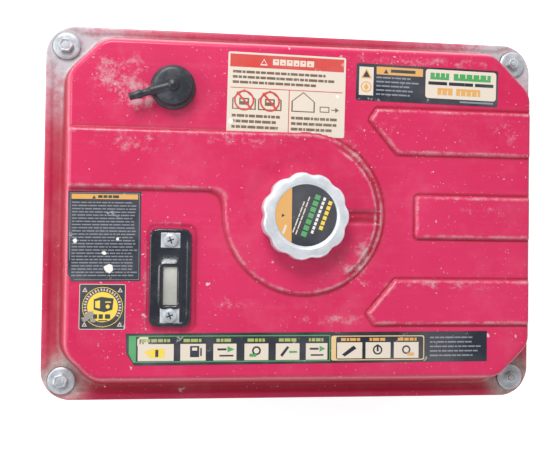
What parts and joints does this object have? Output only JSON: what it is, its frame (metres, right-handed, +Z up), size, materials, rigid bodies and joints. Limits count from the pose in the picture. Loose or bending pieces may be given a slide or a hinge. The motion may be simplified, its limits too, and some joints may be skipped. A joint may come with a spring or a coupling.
{
  "type": "portable generator",
  "caption": "Open-frame petrol generator: crimson pressed-steel fuel tank bolted over a tube frame, with engine, alternator, recoil starter and outlet panel.",
  "frame": {"origin": "centre of the footprint at the floor", "axes": "+X towards the recoil starter end and along the crankshaft, +Y away from the control panel, +Z up"},
  "size_m": [0.52, 0.384, 0.4653],
  "materials": {
    "frame_paint": "black powder coat",
    "tank_paint": "gloss crimson enamel, dusty and chipped",
    "zinc": "bright zinc plate",
    "neck_steel": "pressed steel",
    "cap_metal": "silver plated pressed steel, scuffed",
    "rubber": "matt",
    "vent_plastic": "satin moulding",
    "gloss_black": "gloss moulding",
    "gauge_window": "clear plastic",
    "float_plastic": "foamed",
    "pointer": "matt",
    "cast_aluminium": "die cast, shot blasted",
    "machined_aluminium": "machined",
    "black_metal": "satin black",
    "steel": "bare steel",
    "cast_iron": "as cast",
    "black_plastic": "textured moulding",
    "red_plastic": "moulded",
    "white_plastic": "moulded",
    "rope": "braided",
    "brass": "machined",
    "hose": "smooth",
    "filter_paper": "pleated",
    "muffler_steel": "heat tinted",
    "copper": "lacquered windings on steel laminations",
    "panel_plastic": "fine texture",
    "outlet_plastic": "moulded"
  },
  "bodies": {
    "frame": {"left_hoop": "frame_paint", "right_hoop": "frame_paint", "top_rails": "frame_paint", "bed_rails": "frame_paint", "rubber_feet": "rubber", "engine_mounts": "rubber", "tank_isolators": "rubber", "tank_upper_shell": "tank_paint", "tank_lower_pan": "tank_paint", "tank_bolts": "zinc", "tank_washers": "zinc", "filler_neck": "neck_steel", "vent_valve": "vent_plastic", "gauge_bezel": "gloss_black", "gauge_window": "gauge_window", "gauge_screws": "zinc", "crankcase": "cast_aluminium", "cylinder_head": "cast_aluminium", "valve_cover": "black_metal", "spark_plug": "rubber", "piston": "machined_aluminium", "blower_housing": "black_metal", "ignition_coil": "black_plastic", "recoil_housing": "red_plastic", "fuel_valve": "brass", "fuel_hose": "hose", "carburettor": "cast_aluminium", "air_cleaner_base": "black_plastic", "air_filter": "filter_paper", "muffler": "muffler_steel", "muffler_guard": "black_metal", "alternator_frame": "cast_aluminium", "stator_core": "steel", "engine_adapter": "cast_aluminium", "end_bell": "cast_aluminium", "control_box": "black_metal", "panel_face": "panel_plastic", "duplex_outlets": "outlet_plastic", "twist_lock_outlet": "outlet_plastic", "engine_switch_frame": "black_plastic", "breaker_bodies": "black_plastic", "ground_terminal": "brass", "panel_screws": "zinc"},
    "cap_seal_body": {"cap_seal": "rubber"},
    "fuel_cap": {"fuel_cap": "cap_metal"},
    "gauge_float": {"gauge_float": "float_plastic"},
    "gauge_pointer": {"gauge_pointer": "pointer"},
    "fuel_valve_lever": {"fuel_valve_lever": "red_plastic"},
    "choke_lever": {"choke_lever": "zinc"},
    "engine_switch": {"engine_switch": "red_plastic"},
    "breaker_left_button": {"breaker_left_button": "white_plastic"},
    "breaker_right_button": {"breaker_right_button": "white_plastic"},
    "starter_handle": {"starter_handle": "black_plastic", "starter_rope": "rope"},
    "recoil_pulley": {"recoil_pulley": "black_plastic"},
    "crank": {"crankshaft": "steel", "flywheel": "cast_iron", "rotor": "copper"},
    "oil_dipstick": {"oil_dipstick": "black_plastic"},
    "air_cleaner_cover": {"air_cleaner_cover": "black_plastic"}
  },
  "joints": [
    {"name": "cap_lift", "type": "slide", "parent": "frame", "child": "cap_seal_body", "axis": [0, 0, 1], "range_m": [0, 0.06]},
    {"name": "cap_turn", "type": "hinge", "parent": "cap_seal_body", "child": "fuel_cap", "pos_m": [0.0015, -0.0015, 0.46], "axis": [0, 0, 1], "range_deg": [0, 90]},
    {"name": "float_swing", "type": "hinge", "parent": "frame", "child": "gauge_float", "pos_m": [-0.13, -0.084, 0.428], "axis": [1, 0, 0], "range_deg": [-16, 20]},
    {"name": "pointer_turn", "type": "hinge", "parent": "frame", "child": "gauge_pointer", "pos_m": [-0.13, -0.072, 0.44], "axis": [0, 0, 1], "range_deg": [-20, 24]},
    {"name": "fuel_valve_turn", "type": "hinge", "parent": "frame", "child": "fuel_valve_lever", "pos_m": [0.165, -0.142, 0.308], "axis": [0, -1, 0], "range_deg": [0, 90]},
    {"name": "choke_turn", "type": "hinge", "parent": "frame", "child": "choke_lever", "pos_m": [0.07, -0.006, 0.318], "axis": [0, 0, 1], "range_deg": [0, 70]},
    {"name": "engine_switch_rock", "type": "hinge", "parent": "frame", "child": "engine_switch", "pos_m": [-0.018, -0.176, 0.215], "axis": [1, 0, 0], "range_deg": [0, 10]},
    {"name": "breaker_left_trip", "type": "slide", "parent": "frame", "child": "breaker_left_button", "axis": [0, -1, 0], "range_m": [0, 0.004]},
    {"name": "breaker_right_trip", "type": "slide", "parent": "frame", "child": "breaker_right_button", "axis": [0, -1, 0], "range_m": [0, 0.004]},
    {"name": "starter_pull", "type": "slide", "parent": "frame", "child": "starter_handle", "axis": [0, -1, 0], "range_m": [0, 0.5], "stiffness_N_per_m": 60},
    {"name": "starter_pulley_turn", "type": "hinge", "parent": "frame", "child": "recoil_pulley", "pos_m": [0.205, -0.02, 0.189], "axis": [1, 0, 0], "range_deg": [-5, 530]},
    {"name": "crank_spin", "type": "hinge", "parent": "frame", "child": "crank", "pos_m": [0.07, -0.02, 0.189], "axis": [1, 0, 0], "continuous": true},
    {"name": "dipstick_draw", "type": "slide", "parent": "frame", "child": "oil_dipstick", "axis": [0, -1, 0], "range_m": [0, 0.06]},
    {"name": "air_cleaner_cover_draw", "type": "slide", "parent": "frame", "child": "air_cleaner_cover", "axis": [0, -1, 0], "range_m": [0, 0.02]}
  ],
  "couplings": [
    {"joint": "pointer_turn", "follows": "float_swing", "ratio": 1.1},
    {"joint": "starter_pulley_turn", "follows": "starter_pull", "rad_per_m": 18.182}
  ]
}
